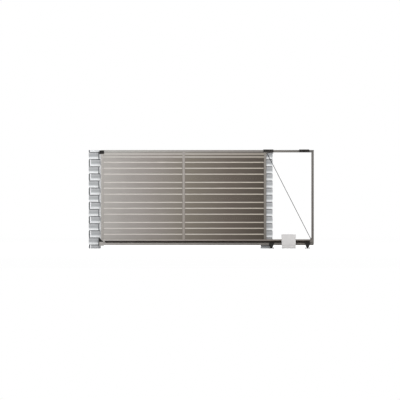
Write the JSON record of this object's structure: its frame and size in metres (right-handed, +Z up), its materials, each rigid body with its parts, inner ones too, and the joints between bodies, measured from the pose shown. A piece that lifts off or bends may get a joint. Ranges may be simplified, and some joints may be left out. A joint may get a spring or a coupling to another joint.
{
  "type": "sliding driveway gate",
  "caption": "Cantilever sliding driveway gate: panelled leaf on a running rail, ground carriages, drive with rack and pinion, and two masonry pillars.",
  "frame": {"origin": "centre of the left pillar's foot, on the ground", "axes": "+X along the gate from the closing pillar to the run-back side, +Y from the yard to the street, +Z up"},
  "size_m": [5.625, 0.693, 2.474],
  "materials": {
    "pillar_stone": "split face, pale",
    "frame_paint": "satin taupe paint",
    "panel_paint": "satin brown paint",
    "rack_nylon": "black glass-filled nylon",
    "zinc_steel": "galvanised",
    "black_steel": "matte black paint",
    "roller_steel": "turned",
    "roller_nylon": "natural nylon",
    "rod_paint": "dark grey paint",
    "housing_plastic": "pale grey, fine grain",
    "cap_plastic": "dark grey plugs",
    "gear_steel": "cut teeth"
  },
  "bodies": {
    "fixed_parts": {"left_pillar": "pillar_stone", "right_pillar": "pillar_stone", "lower_catcher_cradle": "zinc_steel", "operator_base": "zinc_steel", "front_carriage_stand": "black_steel", "rear_carriage_stand": "black_steel", "front_guide_bracket": "black_steel", "rear_guide_bracket": "black_steel", "upper_catcher": "black_steel", "lower_catcher_gussets": "black_steel", "carriage_bogies": "roller_steel", "guide_rollers": "roller_nylon", "guide_carrier": "rod_paint", "operator_housing": "housing_plastic"},
    "leaf": {"leaf_top_beam": "frame_paint", "leaf_lower_beam": "frame_paint", "leaf_front_post": "frame_paint", "leaf_middle_strut": "frame_paint", "leaf_rear_post": "frame_paint", "leaf_end_post": "frame_paint", "running_rail": "frame_paint", "rail_end_cap": "frame_paint", "infill_panel_1": "panel_paint", "infill_panel_2": "panel_paint", "infill_panel_3": "panel_paint", "infill_panel_4": "panel_paint", "infill_panel_top": "panel_paint", "top_cover_strips": "frame_paint", "toothed_rack": "rack_nylon", "rack_spacers": "zinc_steel", "tension_rod": "rod_paint", "tension_rod_lugs": "rod_paint", "end_roller_fork": "zinc_steel", "beam_end_caps": "cap_plastic"},
    "drive_pinion": {"pinion": "gear_steel"}
  },
  "joints": [
    {"name": "leaf_slide", "type": "slide", "parent": "fixed_parts", "child": "leaf", "axis": [1, 0, 0], "range_m": [0, 4]},
    {"name": "pinion_turn", "type": "hinge", "parent": "fixed_parts", "child": "drive_pinion", "pos_m": [4.845, -0.29, 0.1185], "axis": [0, 1, 0], "range_deg": [0, 7200]}
  ],
  "couplings": [
    {"joint": "pinion_turn", "follows": "leaf_slide", "rad_per_m": 31.25}
  ]
}
